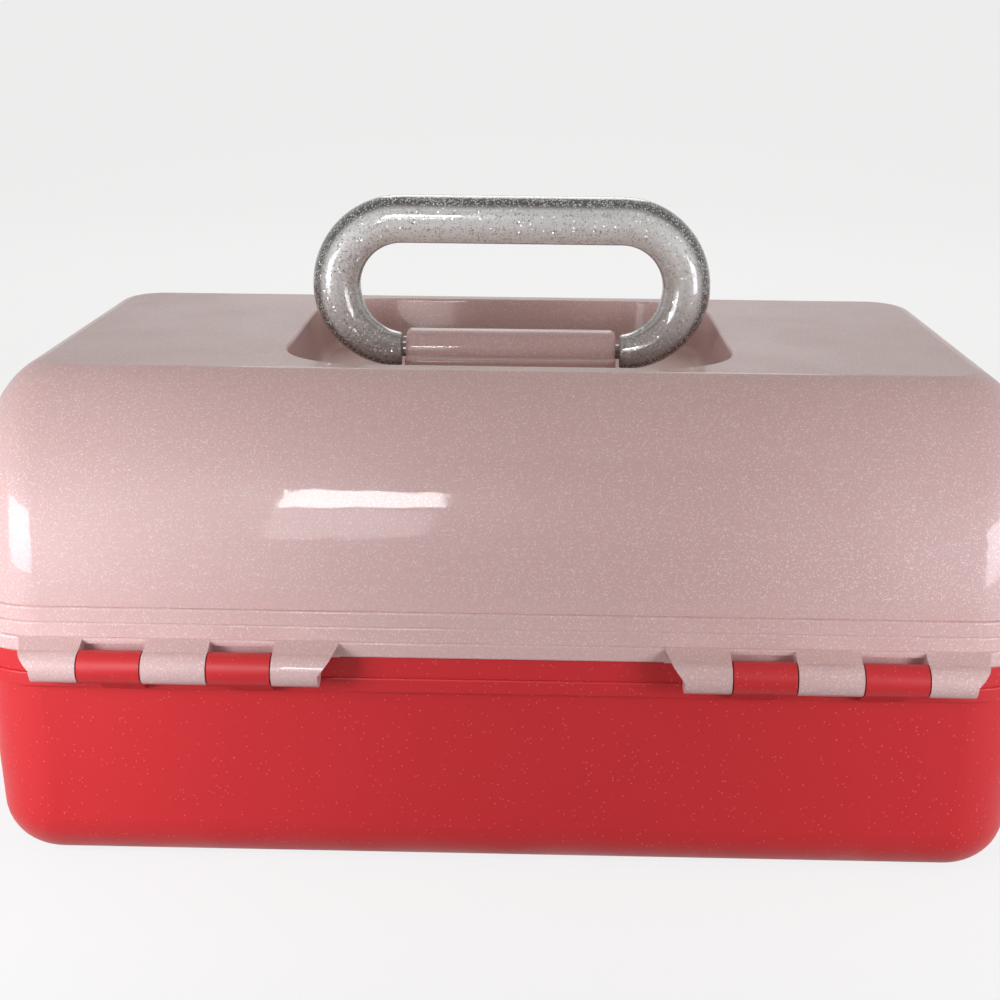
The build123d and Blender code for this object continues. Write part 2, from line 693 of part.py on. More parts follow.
# ---------------------------------------------------------------- swing arms and their pins
counterbore_x = arm_x + arm_thickness - pin_head_thickness - sliding_gap
for (side_name, side), (row, foot_y) in product(sides.items(), arm_feet.items()):
    tip_y, tip_z = upper_places[row]
    low_y, low_z = lower_places[row]
    arm_start = arm_x if side > 0 else -arm_x - arm_thickness
    with BuildPart() as arm:
        with BuildSketch(Plane.YZ.offset(arm_start)):
            with Locations(((foot_y + tip_y) / 2, (arm_foot_z + tip_z) / 2)):
                SlotCenterToCenter(arm_length, arm_width, rotation=-arm_rest_angle)
        extrude(amount=arm_thickness)
        for y, z in ((foot_y, arm_foot_z), (low_y, low_z), (tip_y, tip_z)):
            bore = pin_radius + pin_clearance
            side_disc(side, arm_x, y, z, bore, arm_thickness, Mode.SUBTRACT)
        for y, z in ((low_y, low_z), (tip_y, tip_z)):
            bore = pin_head_radius + counterbore_clearance
            depth = arm_x + arm_thickness - counterbore_x
            side_disc(side, counterbore_x, y, z, bore, depth, Mode.SUBTRACT)
    save(arm, f"{row}_arm_{side_name}")

    # Foot pin: its head is inside the arm, its shank is pressed into the tub's boss
    with BuildPart() as foot_pin:
        head_x = arm_x - sliding_gap - base_pin_head_thickness
        side_disc(side, head_x, foot_y, arm_foot_z, pin_head_radius, base_pin_head_thickness)
        shank = tub_boss_x + pin_grip - head_x
        side_disc(side, head_x, foot_y, arm_foot_z, pin_radius, shank)
    save(foot_pin, f"{row}_foot_pin_{side_name}")

    # Tray pins: pressed into the tray's wall, with their heads sunk in the arm
    for level, (y, z) in (("lower", (low_y, low_z)), ("upper", (tip_y, tip_z))):
        with BuildPart() as tray_pin:
            head_x = counterbore_x + sliding_gap / 2
            shank_x = tray_half - tray_wall
            side_disc(side, shank_x, y, z, pin_radius, head_x - shank_x)
            side_disc(side, head_x, y, z, pin_head_radius, pin_head_thickness)
        save(tray_pin, f"{level}_{row}_tray_pin_{side_name}")

for side_name, side in sides.items():
    with BuildPart() as lid_tray_pin:
        head_x = tray_half - tray_wall - sliding_gap - base_pin_head_thickness
        side_disc(side, head_x, lid_pin_y, lid_pin_z, pin_head_radius, base_pin_head_thickness)
        shank = lid_boss_x + pin_grip - head_x
        side_disc(side, head_x, lid_pin_y, lid_pin_z, pin_radius, shank)
    save(lid_tray_pin, f"lid_tray_pin_{side_name}")

# ---------------------------------------------------------------- mirror
with BuildPart() as mirror_frame:
    frame_radius = mirror_radius + mirror_side_margin
    round_outline(frame_length, frame_width, frame_radius, frame_bottom, frame_top)
    fillet(mirror_frame.edges().group_by(Axis.Z)[0], mirror_frame_round)
    round_outline(
        mirror_length + 2 * mirror_gap,
        mirror_width + 2 * mirror_gap,
        mirror_radius + mirror_gap,
        frame_bottom,
        glass_top,
        Mode.SUBTRACT,
    )
    with BuildSketch(Plane.XY.offset(frame_bottom)):
        with GridLocations(2 * post_x, 2 * post_y, 2, 2):
            Circle(rivet_radius + mirror_gap / 2)
    extrude(amount=frame_top - frame_bottom, mode=Mode.SUBTRACT)

save(mirror_frame, "mirror_frame")

with BuildPart() as mirror_glass:
    round_outline(
        mirror_length, mirror_width, mirror_radius, glass_top - mirror_thickness, glass_top
    )

save(mirror_glass, "mirror_glass")

for (side_name, side), (row, row_side) in product(sides.items(), (("front", -1), ("rear", 1))):
    with BuildPart() as rivet:
        with BuildSketch(Plane.XY.offset(frame_bottom - rivet_head_thickness)):
            with Locations((side * post_x, row_side * post_y)):
                Circle(rivet_head_radius)
        extrude(amount=rivet_head_thickness)
        fillet(rivet.edges().group_by(Axis.Z)[0], rivet_head_thickness / 2)
        with BuildSketch(Plane.XY.offset(frame_bottom)):
            with Locations((side * post_x, row_side * post_y)):
                Circle(rivet_radius)
        extrude(amount=frame_top + rivet_grip - frame_bottom)
    save(rivet, f"mirror_rivet_{row}_{side_name}")
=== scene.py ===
# %% [markdown]
# # A make-up case in moulded plastic
# The case has a coral-red tub, a pale pink lid full of fine glitter and a clear handle
# with silver flakes. Its shapes come finished from the frame, in metres, with +Z up and
# the hinges on the +Y side. What is left to do here is the finish of every part, the
# small things that a mould leaves, the light and the camera.

# %% Load the frame
from math import cos, radians, sin

import bmesh
import bpy
from mathutils import Matrix, Vector

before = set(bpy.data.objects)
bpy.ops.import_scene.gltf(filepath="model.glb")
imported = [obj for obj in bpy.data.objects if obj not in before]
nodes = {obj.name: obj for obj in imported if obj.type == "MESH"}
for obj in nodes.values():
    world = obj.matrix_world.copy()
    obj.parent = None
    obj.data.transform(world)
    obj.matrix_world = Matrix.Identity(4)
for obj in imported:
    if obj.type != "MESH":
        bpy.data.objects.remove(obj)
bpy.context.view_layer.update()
print("parts in the frame:", len(nodes))

# %% [markdown]
# ## Colours as numbers
# A colour listed here is an sRGB value from 0 to 255, while a shader wants linear
# light. One small function turns the first into the second, so that each finish below
# can be written the way a person would name it.


# %% Colour helper
def paint(red, green, blue):
    """An sRGB colour of 0 to 255 as the linear colour that a shader wants."""
    linear = []
    for part in (red, green, blue):
        share = part / 255
        linear.append(share / 12.92 if share <= 0.04045 else ((share + 0.055) / 1.055) ** 2.4)
    return (*linear, 1.0)


print("coral red in linear light:", [round(v, 3) for v in paint(204, 50, 58)])

# %% [markdown]
# ## Building node trees
# Every material is a small graph. Two helpers keep the graphs readable: one adds a node
# and sets its properties, the other joins two sockets. They work the same in a material
# and in a node group.


# %% Node helpers
def put(tree, kind, x, y, **settings):
    """Adds a node at a place in the editor and sets its properties."""
    node = tree.nodes.new(kind)
    node.location = (x, y)
    for name, value in settings.items():
        setattr(node, name, value)
    return node


def join(tree, source, target):
    """Joins an output socket to an input socket."""
    tree.links.new(source, target)


def arithmetic(tree, operation, x, y, first, second):
    """A Math node whose inputs are sockets or plain numbers."""
    node = put(tree, "ShaderNodeMath", x, y, operation=operation)
    for socket, value in zip(node.inputs, (first, second)):
        if isinstance(value, (int, float)):
            socket.default_value = value
        else:
            join(tree, value, socket)
    return node.outputs[0]


def blend_colours(tree, x, y, share, first, second):
    """A Mix node between two colours, each a socket or a plain colour."""
    node = put(tree, "ShaderNodeMix", x, y, data_type="RGBA")
    for socket, value in ((node.inputs[0], share), (node.inputs[6], first), (node.inputs[7], second)):
        if isinstance(value, (int, float, tuple)):
            socket.default_value = value
        else:
            join(tree, value, socket)
    return node.outputs[2]


def new_group(name, inputs, outputs):
    """An empty node group with named sockets: inputs carry a default value."""
    group = bpy.data.node_groups.new(name, "ShaderNodeTree")
    for label, kind, value in inputs:
        socket = group.interface.new_socket(label, in_out="INPUT", socket_type=kind)
        socket.default_value = value
    for label, kind in outputs:
        group.interface.new_socket(label, in_out="OUTPUT", socket_type=kind)
    return group


# %% [markdown]
# ## Glitter
# The lid and the handle are moulded from clear plastic with thin foil flakes in it. A
# flake shows as a tiny bright speck that lies at its own angle, so it flashes when it
# mirrors a lamp. Cells of a Voronoi texture stand for the flakes: a random number per
# cell says whether it holds one, and the same random colour tips its normal. This is
# far lighter than modelling hundreds of thousands of specks.

# %% Glitter group
glitter = new_group(
    "glitter flakes",
    [
        ("Flake spacing", "NodeSocketFloat", 0.0006),
        ("Share", "NodeSocketFloat", 0.3),
        ("Roundness", "NodeSocketFloat", 0.4),
        ("Tilt", "NodeSocketFloat", 0.6),
    ],
    [("Mask", "NodeSocketFloat"), ("Brightness", "NodeSocketFloat"), ("Normal", "NodeSocketVector")],
)
g_in = put(glitter, "NodeGroupInput", -900, 0)
g_out = put(glitter, "NodeGroupOutput", 700, 0)
place = put(glitter, "ShaderNodeTexCoord", -900, -250)
cells = put(glitter, "ShaderNodeTexVoronoi", -500, 0, voronoi_dimensions="3D", feature="F1")
join(glitter, place.outputs["Object"], cells.inputs["Vector"])
join(glitter, arithmetic(glitter, "DIVIDE", -700, 0, 1.0, g_in.outputs[0]), cells.inputs["Scale"])
lots = put(glitter, "ShaderNodeSeparateColor", -300, 150)
join(glitter, cells.outputs["Color"], lots.inputs[0])
holds_flake = arithmetic(glitter, "LESS_THAN", -100, 200, lots.outputs[0], g_in.outputs[1])
near_middle = arithmetic(glitter, "LESS_THAN", -100, 0, cells.outputs["Distance"], g_in.outputs[2])
mask = arithmetic(glitter, "MULTIPLY", 100, 100, holds_flake, near_middle)
tip = put(glitter, "ShaderNodeVectorMath", -100, -200, operation="SUBTRACT")
join(glitter, cells.outputs["Color"], tip.inputs[0])
tip.inputs[1].default_value = (0.5, 0.5, 0.5)
reach = arithmetic(glitter, "MULTIPLY", 100, -100, mask, g_in.outputs[3])
scaled = put(glitter, "ShaderNodeVectorMath", 100, -250, operation="SCALE")
join(glitter, tip.outputs[0], scaled.inputs[0])
join(glitter, reach, scaled.inputs["Scale"])
surface = put(glitter, "ShaderNodeNewGeometry", 100, -450)
leaned = put(glitter, "ShaderNodeVectorMath", 300, -250, operation="ADD")
join(glitter, scaled.outputs[0], leaned.inputs[0])
join(glitter, surface.outputs["Normal"], leaned.inputs[1])
unit = put(glitter, "ShaderNodeVectorMath", 500, -250, operation="NORMALIZE")
join(glitter, leaned.outputs[0], unit.inputs[0])
join(glitter, mask, g_out.inputs[0])
join(glitter, lots.outputs[1], g_out.inputs[1])
join(glitter, unit.outputs[0], g_out.inputs[2])
print("glitter group nodes:", len(glitter.nodes))

# %% [markdown]
# ## Moulded skin
# Moulded plastic is never optically flat. The surface wavers a little where the melt
# shrank, carries fine scratches from use, and is duller where hands rub it. One group
# gives a height for the bump, a mask of dull patches and a slow cloud that shifts the
# colour, and each plastic below takes its own amounts.

# %% Moulded skin group
skin = new_group(
    "moulded skin",
    [("Waver size", "NodeSocketFloat", 0.03), ("Grain size", "NodeSocketFloat", 0.0006)],
    [("Height", "NodeSocketFloat"), ("Dull", "NodeSocketFloat"), ("Cloud", "NodeSocketFloat")],
)
s_in = put(skin, "NodeGroupInput", -900, 0)
s_out = put(skin, "NodeGroupOutput", 700, 0)
s_place = put(skin, "ShaderNodeTexCoord", -900, -250)


def skin_noise(x, y, size, detail):
    """A noise texture whose features are about size across, in metres."""
    noise = put(skin, "ShaderNodeTexNoise", x, y)
    noise.inputs["Detail"].default_value = detail
    join(skin, s_place.outputs["Object"], noise.inputs["Vector"])
    join(skin, arithmetic(skin, "DIVIDE", x - 200, y, 1.0, size), noise.inputs["Scale"])
    return noise.outputs[0]


waver = skin_noise(-450, 250, s_in.outputs[0], 1.0)
grain = skin_noise(-450, 0, s_in.outputs[1], 2.0)
rubbed = skin_noise(-450, -250, 0.02, 6.0)
cloud = skin_noise(-450, -500, 0.11, 2.0)
stretch = put(skin, "ShaderNodeMapping", -700, -800)
stretch.inputs["Scale"].default_value = (60, 900, 900)
stretch.inputs["Rotation"].default_value = (0.3, 0.5, 0.9)
join(skin, s_place.outputs["Object"], stretch.inputs["Vector"])
scratch_noise = put(skin, "ShaderNodeTexNoise", -450, -800)
scratch_noise.inputs["Scale"].default_value = 1.0
join(skin, stretch.outputs[0], scratch_noise.inputs["Vector"])
scratch_lines = put(skin, "ShaderNodeMapRange", -250, -800)
for socket, value in zip(scratch_lines.inputs[1:5], (0.70, 0.78, 0.0, 1.0)):
    socket.default_value = value
join(skin, scratch_noise.outputs[0], scratch_lines.inputs[0])
scratches = scratch_lines.outputs[0]
low = arithmetic(skin, "MULTIPLY", -100, 250, waver, 3.0)
height = arithmetic(skin, "ADD", 100, 150, low, arithmetic(skin, "MULTIPLY", -100, 50, grain, 0.12))
scratch_depth = arithmetic(skin, "MULTIPLY", 100, -100, scratches, 0.06)
height = arithmetic(skin, "SUBTRACT", 300, 150, height, scratch_depth)
dull = arithmetic(skin, "ADD", 300, -200, rubbed, arithmetic(skin, "MULTIPLY", 100, -300, scratches, 0.5))
join(skin, height, s_out.inputs[0])
join(skin, dull, s_out.inputs[1])
join(skin, cloud, s_out.inputs[2])
print("skin group nodes:", len(skin.nodes))

# %% [markdown]
# ## Starting a material
# Each finish starts from the same bones: a Principled shader, a bump node that takes
# the skin's height, and roughness that rises where the skin is dull. Constants stay on
# the shader's own sockets, and only what changes over the surface is wired up.


# %% Material helpers
def begin(name, **constants):
    """A new material with its shader's constant sockets set; gives (material, tree, shader)."""
    material = bpy.data.materials.new(name)
    material.use_nodes = True
    tree = material.node_tree
    shader = tree.nodes["Principled BSDF"]
    for label, value in constants.items():
        shader.inputs[label.replace("_", " ").title().replace("Ior", "IOR")].default_value = value
    return material, tree, shader


def wear_skin(tree, shader, waver_size, grain_size, relief, low_rough, high_rough, normal=None):
    """Places the moulded skin group: bump, roughness between two values. Gives the group."""
    group = put(tree, "ShaderNodeGroup", -900, -200, node_tree=skin)
    group.inputs[0].default_value = waver_size
    group.inputs[1].default_value = grain_size
    spread = put(tree, "ShaderNodeMapRange", -500, -100)
    for socket, value in zip(spread.inputs[1:5], (0.35, 0.75, low_rough, high_rough)):
        socket.default_value = value
    join(tree, group.outputs["Dull"], spread.inputs[0])
    join(tree, spread.outputs[0], shader.inputs["Roughness"])
    bump = put(tree, "ShaderNodeBump", -300, -400)
    bump.inputs["Strength"].default_value = 1.0
    bump.inputs["Distance"].default_value = relief
    join(tree, group.outputs["Height"], bump.inputs["Height"])
    if normal is not None:
        join(tree, normal, bump.inputs["Normal"])
    join(tree, bump.outputs[0], shader.inputs["Normal"])
    return group


def add_flakes(tree, spacing, share, roundness, tilt):
    """Places the glitter group with its values."""
    group = put(tree, "ShaderNodeGroup", -900, 300, node_tree=glitter)
    for socket, value in zip(group.inputs, (spacing, share, roundness, tilt)):
        socket.default_value = value
    return group


# %% [markdown]
# ## Lid: pale pink pearl with fine glitter
# The lid is a milky pink plastic crowded with very fine flakes, under a clear gloss. A
# little light goes into it, which softens its shadows, so it gets a touch of
# subsurface. Most of the shine is left to the coat: the pink below has only a weak one
# of its own, or the flat top would mirror too much of the backdrop at a low angle.

# %% Lid material
lid_pearl, tree, shader = begin(
    "lid pearl",
    specular_ior_level=0.3,
    coat_weight=0.36,
    coat_roughness=0.05,
    subsurface_weight=0.10,
    subsurface_scale=0.003,
)
flakes = add_flakes(tree, 0.00046, 0.5, 0.45, 0.5)
body = wear_skin(tree, shader, 0.05, 0.0012, 0.00010, 0.38, 0.52, flakes.outputs["Normal"])
clouded = blend_colours(tree, -500, 500, body.outputs["Cloud"], paint(207, 171, 165), paint(216, 184, 180))
glint = arithmetic(tree, "MULTIPLY", -700, 300, flakes.outputs["Mask"], flakes.outputs["Brightness"])
glint_share = arithmetic(tree, "MULTIPLY", -500, 250, glint, 0.6)
speckled = blend_colours(tree, -300, 400, glint_share, clouded, paint(246, 234, 236))
join(tree, speckled, shader.inputs["Base Color"])
print("lid finish:", lid_pearl.name)

# %% [markdown]
# ## Tub: coral-red satin
# The tub is one solid colour all the way through, with a satin skin that spreads its
# highlights and a thin scatter of flakes that has strayed in from the lid's plastic. A
# slow cloud keeps the large faces from looking flat.

# %% Tub material
tub_red, tree, shader = begin("tub red", specular_ior_level=0.3, coat_weight=0.3, coat_roughness=0.45)
flakes = add_flakes(tree, 0.0008, 0.08, 0.3, 0.3)
body = wear_skin(tree, shader, 0.04, 0.0010, 0.00015, 0.42, 0.58, flakes.outputs["Normal"])
reds = blend_colours(tree, -500, 300, body.outputs["Cloud"], paint(192, 30, 35), paint(203, 38, 43))
stray = arithmetic(tree, "MULTIPLY", -500, 100, flakes.outputs["Mask"], 0.35)
dotted = blend_colours(tree, -300, 300, stray, reds, paint(236, 130, 128))
join(tree, dotted, shader.inputs["Base Color"])
print("tub finish:", tub_red.name)

# %% [markdown]
# ## Clear plastic with silver flakes
# In the handle and the latch the flakes are larger and sit in clear plastic, so these
# parts look silvery and deep. Real transmission alone would turn them into glass, while
# it is the flakes that are seen: the finish is a slightly clear body with silvery specks
# under a hard gloss. One function makes both, from the colour of the clear body.


# %% Clear glitter finish
def clear_glitter(name, body_colour_and_painted_light, painted_dark_band_share):
    """Clear plastic full of silver flakes. The two functions draw the body's colour, with any
    painted light and shade in it, and, as a socket or a number, the share of painted dark band under the
    flakes at each point."""
    material, tree, shader = begin(
        name, coat_weight=0.9, coat_roughness=0.03, transmission_weight=0.15, ior=1.49
    )
    flakes = add_flakes(tree, 0.00062, 0.62, 0.5, 1.0)
    wear_skin(tree, shader, 0.02, 0.0012, 0.00006, 0.14, 0.30, flakes.outputs["Normal"])
    ground_and_painted_light = body_colour_and_painted_light(tree)
    painted_dark_band = painted_dark_band_share(tree)
    silver = blend_colours(
        tree, -500, 700, flakes.outputs["Brightness"], paint(112, 108, 103), paint(255, 255, 252)
    )
    # More flakes show where the handle's painted dark band lies.
    seen_share = arithmetic(tree, "MULTIPLY_ADD", -700, 900, painted_dark_band, 0.25)
    seen_share.node.inputs[2].default_value = 0.6
    share = arithmetic(tree, "MULTIPLY", -500, 900, flakes.outputs["Mask"], seen_share)
    join(tree, blend_colours(tree, -300, 700, share, ground_and_painted_light, silver), shader.inputs["Base Color"])
    metal = arithmetic(tree, "MULTIPLY", -500, 1100, flakes.outputs["Mask"], 0.12)
    join(tree, metal, shader.inputs["Metallic"])
    return material


# %% [markdown]
# The thick loop of the handle works as a lens, and its light and shade are painted into its
# colour: a painted dark reflection along its outer side, a painted silvery-white highlight
# in its middle, and a painted bright line and then a painted dark line along its inner side.
# The loop is a stadium, so "outwards" at any point is the direction from the straight line
# between the centres of its two bends. How far the surface faces outwards picks the painted colour from a
# ramp, which works from every side.

# %% Handle and latch
bend_centre_x = 0.03675
bend_centre_z = 0.1647
# Painted shade: the handle's legs turn darker and browner towards the lid between these two heights.
legs_painted_shade_from_z = 0.180  # the legs' brown tint sets in here, and is full below the next
legs_painted_shade_full_z = 0.150


def outward_share(tree):
    """How far the handle's surface faces away from the loop's inside, from 0 to 1."""
    place = put(tree, "ShaderNodeTexCoord", -2500, 900)
    parts = put(tree, "ShaderNodeSeparateXYZ", -2300, 900)
    join(tree, place.outputs["Object"], parts.inputs[0])
    nearest = put(tree, "ShaderNodeClamp", -2100, 1000)
    nearest.inputs["Min"].default_value = -bend_centre_x
    nearest.inputs["Max"].default_value = bend_centre_x
    join(tree, parts.outputs["X"], nearest.inputs[0])
    away = put(tree, "ShaderNodeCombineXYZ", -1700, 900)
    sideways = arithmetic(tree, "SUBTRACT", -1900, 1000, parts.outputs["X"], nearest.outputs[0])
    upwards = arithmetic(tree, "SUBTRACT", -1900, 800, parts.outputs["Z"], bend_centre_z)
    join(tree, sideways, away.inputs["X"])
    join(tree, upwards, away.inputs["Z"])
    direction = put(tree, "ShaderNodeVectorMath", -1500, 900, operation="NORMALIZE")
    join(tree, away.outputs[0], direction.inputs[0])
    facing = put(tree, "ShaderNodeVectorTransform", -1700, 600, vector_type="NORMAL")
    facing.convert_from = "WORLD"
    facing.convert_to = "OBJECT"
    join(tree, put(tree, "ShaderNodeNewGeometry", -1900, 600).outputs["Normal"], facing.inputs[0])
    dot = put(tree, "ShaderNodeVectorMath", -1300, 800, operation="DOT_PRODUCT")
    join(tree, direction.outputs[0], dot.inputs[0])
    join(tree, facing.outputs[0], dot.inputs[1])
    share = put(tree, "ShaderNodeMapRange", -1100, 800)
    share.inputs["From Min"].default_value = -1.0
    join(tree, dot.outputs["Value"], share.inputs[0])
    return share.outputs[0]


def handle_painted_lens_light(tree):
    """The clear loop's colours from its inner side to its outer side, with its lens light painted in: a
    painted dark line and bright line inside, a painted highlight in the middle, a painted dark outer band,
    and painted shade on the legs.
    """
    ramp = put(tree, "ShaderNodeValToRGB", -900, 700)
    # Painted light and shade: a dark inner line, a painted bright line beside it, a painted white highlight
    # in the middle and a painted dark outer band.
    stops = (
        (0.000, paint(118, 110, 102)),
        (0.030, paint(150, 144, 134)),
        (0.055, paint(246, 245, 240)),
        (0.110, paint(222, 216, 206)),
        (0.330, paint(236, 234, 227)),
        (0.560, paint(252, 253, 248)),
        (0.740, paint(240, 241, 236)),
        (0.815, paint(132, 128, 122)),
        (0.860, paint(58, 54, 51)),
        (1.000, paint(42, 39, 37)),
    )
    for position, colour in stops[1:-1]:
        ramp.color_ramp.elements.new(position)
    for element, (position, colour) in zip(ramp.color_ramp.elements, stops):
        element.position = position
        element.color = colour
    join(tree, outward_share(tree), ramp.inputs[0])
    place = put(tree, "ShaderNodeTexCoord", -1500, 400)
    parts = put(tree, "ShaderNodeSeparateXYZ", -1300, 400)
    join(tree, place.outputs["Object"], parts.inputs[0])
    # Painted shade on the legs: darker and browner towards the lid.
    painted_leg_shade = put(tree, "ShaderNodeMapRange", -1100, 400)
    painted_leg_shade.inputs["From Min"].default_value = legs_painted_shade_from_z
    painted_leg_shade.inputs["From Max"].default_value = legs_painted_shade_full_z
    painted_leg_shade.inputs["To Max"].default_value = 0.6
    join(tree, parts.outputs["Z"], painted_leg_shade.inputs[0])
    return blend_colours(tree, -700, 500, painted_leg_shade.outputs[0], ramp.outputs[0], paint(120, 104, 94))


def handle_painted_dark_band(tree):
    """1 on the loop's painted dark outer band and 0 elsewhere."""
    band = put(tree, "ShaderNodeMapRange", -900, 1200)
    band.inputs["From Min"].default_value = 0.78
    band.inputs["From Max"].default_value = 0.86
    join(tree, outward_share(tree), band.inputs[0])
    return band.outputs[0]


def latch_colours(tree):
    """The latch is thin and flat, so its clear body is one silvery grey with a cloud."""
    place = put(tree, "ShaderNodeTexCoord", -1300, 700)
    cloud_noise = put(tree, "ShaderNodeTexNoise", -1100, 700)
    cloud_noise.inputs["Scale"].default_value = 60.0
    join(tree, place.outputs["Object"], cloud_noise.inputs["Vector"])
    return blend_colours(tree, -900, 700, cloud_noise.outputs[0], paint(182, 180, 174), paint(208, 208, 203))


handle_clear_painted_light = clear_glitter("handle clear glitter, painted lens light", handle_painted_lens_light, handle_painted_dark_band)
latch_clear = clear_glitter("latch clear glitter", latch_colours, lambda tree: 0.0)
print("clear finishes:", handle_clear_painted_light.name, "and", latch_clear.name)

# %% [markdown]
# ## Inside parts
# The trays and the mirror's frame are plain pink plastic, the arms white. The pins are
# drawn steel wire, and the mirror is silvered glass.

# %% Plain plastics, steel and mirror
tray_pink, tree, shader = begin("tray pink", coat_weight=0.3, coat_roughness=0.15)
body = wear_skin(tree, shader, 0.03, 0.001, 0.0001, 0.3, 0.45)
pinks = blend_colours(tree, -300, 300, body.outputs["Cloud"], paint(226, 190, 188), paint(234, 201, 199))
join(tree, pinks, shader.inputs["Base Color"])

arm_white, tree, shader = begin("arm white", coat_weight=0.2, coat_roughness=0.2)
body = wear_skin(tree, shader, 0.02, 0.001, 0.0001, 0.32, 0.5)
whites = blend_colours(tree, -300, 300, body.outputs["Cloud"], paint(226, 222, 218), paint(238, 236, 232))
join(tree, whites, shader.inputs["Base Color"])

pin_steel, tree, shader = begin("pin steel", metallic=1.0)
body = wear_skin(tree, shader, 0.01, 0.0003, 0.00003, 0.22, 0.4)
steels = blend_colours(tree, -300, 300, body.outputs["Cloud"], paint(188, 188, 190), paint(212, 212, 212))
join(tree, steels, shader.inputs["Base Color"])

mirror_silver, tree, shader = begin("mirror silver", metallic=1.0)
body = wear_skin(tree, shader, 0.08, 0.004, 0.000004, 0.01, 0.05)
mirrors = blend_colours(tree, -300, 300, body.outputs["Cloud"], paint(232, 236, 238), paint(240, 243, 244))
join(tree, mirrors, shader.inputs["Base Color"])
print("inside finishes made")


# %% [markdown]
# ## Dressing the parts
# Each part of the frame keeps its shape and takes a finish by what it is. Pins and
# arms come in sets, so their names decide.


# %% Assign finishes
def finish_for(name):
    """The material for a part of the frame, by its name."""
    exact = {
        "base_shell": tub_red,
        "lid_shell": lid_pearl,
        "handle": handle_clear_painted_light,
        "latch": latch_clear,
        "mirror_glass": mirror_silver,
        "mirror_frame": tray_pink,
        "lower_tray": tray_pink,
        "upper_tray": tray_pink,
    }
    if name in exact:
        return exact[name]
    if "_arm_" in name or "rivet" in name:
        return arm_white
    return pin_steel


for name, node in nodes.items():
    node.data.materials.clear()
    node.data.materials.append(finish_for(name))
print("dressed:", len(nodes))

# %% [markdown]
# ## Floor and backdrop
# The case stands on a plain pale sweep that runs up behind it, so no horizon shows.
# The sweep is one curved sheet, built from a profile line that is drawn out sideways.

# %% Studio sweep
sweep_half = 3.0
sweep_back = 2.4
sweep_round = 0.8
sweep_height = 3.0
sweep_steps = 16
profile = [(sweep_half, 0.0)]
for step in range(sweep_steps + 1):
    turn = radians(90 * step / sweep_steps)
    y = -sweep_back + sweep_round - sweep_round * sin(turn)
    z = sweep_round - sweep_round * cos(turn)
    profile.append((y, z))
profile.append((-sweep_back, sweep_height))
mesh = bmesh.new()
rows = []
for y, z in profile:
    rows.append([mesh.verts.new((x, y, z)) for x in (-sweep_half, sweep_half)])
for lower, upper in zip(rows, rows[1:]):
    mesh.faces.new((lower[0], lower[1], upper[1], upper[0]))
sweep_mesh = bpy.data.meshes.new("studio_sweep")
mesh.to_mesh(sweep_mesh)
mesh.free()
sweep_mesh.shade_smooth()
studio_sweep = bpy.data.objects.new("studio_sweep", sweep_mesh)
bpy.context.scene.collection.objects.link(studio_sweep)
print("sweep faces:", len(sweep_mesh.polygons))

# %% [markdown]
# The backdrop has to look evenly pale without pouring extra light on the case. Paper
# would need its own lamps for that. Here the camera, and whatever mirrors or refracts
# the sheet, sees it lifted by a glow of its own, while the light that bounces off it is
# only that of a grey card. The glow is even, so the case's soft shadow still shows in
# the part that the lamps light.


# %% Backdrop finish
def seen_directly(tree, x, y):
    """1 for rays of the camera, of mirrors and of clear plastic, and 0 for bounced light."""
    rays = put(tree, "ShaderNodeLightPath", x, y)
    eye = rays.outputs["Is Camera Ray"]
    mirrored = rays.outputs["Is Glossy Ray"]
    straight = arithmetic(tree, "MAXIMUM", x + 200, y, eye, mirrored)
    return arithmetic(tree, "MAXIMUM", x + 400, y, straight, rays.outputs["Is Transmission Ray"])


sweep_white = bpy.data.materials.new("sweep white")
sweep_white.use_nodes = True
tree = sweep_white.node_tree
card = tree.nodes["Principled BSDF"]
card.inputs["Base Color"].default_value = paint(150, 142, 140)
card.inputs["Roughness"].default_value = 0.9
card.inputs["Specular IOR Level"].default_value = 0.0
shown = put(tree, "ShaderNodeBsdfPrincipled", 0, -400)
shown.inputs["Base Color"].default_value = paint(110, 110, 110)
shown.inputs["Roughness"].default_value = 0.9
shown.inputs["Specular IOR Level"].default_value = 0.0
shown.inputs["Emission Color"].default_value = (1, 1, 1, 1)
shown.inputs["Emission Strength"].default_value = 0.80
choose = put(tree, "ShaderNodeMixShader", 400, 0)
join(tree, seen_directly(tree, -700, 300), choose.inputs[0])
join(tree, card.outputs[0], choose.inputs[1])
join(tree, shown.outputs[0], choose.inputs[2])
join(tree, choose.outputs[0], tree.nodes["Material Output"].inputs[0])
sweep_mesh.materials.append(sweep_white)
print("backdrop finish:", sweep_white.name)

# %% [markdown]
# ## Light
# A soft lamp close to one end lights the face with the hinges strongly there and less
# and less towards the middle, and a weaker one at the other end picks it up again. That
# fall-off gives the long plain faces their shape. Both stand level with the lid's top,
# which so gets little of their light, and their beams are narrowed, which keeps it off
# the middle. A larger lamp on the latch side and the world fill the shadows.


# %% Lamps
def soft_lamp(name, place, aim, size, power, tint=(1, 1, 1)):
    """A soft rectangular lamp at a place, turned to a point."""
    light = bpy.data.lights.new(name, "AREA")
    light.shape = "RECTANGLE"
    light.size, light.size_y = size
    light.energy = power
    light.color = tint
    lamp = bpy.data.objects.new(name, light)
    lamp.location = place
    lamp.rotation_euler = (Vector(aim) - Vector(place)).to_track_quat("-Z", "Y").to_euler()
    bpy.context.scene.collection.objects.link(lamp)
    return lamp


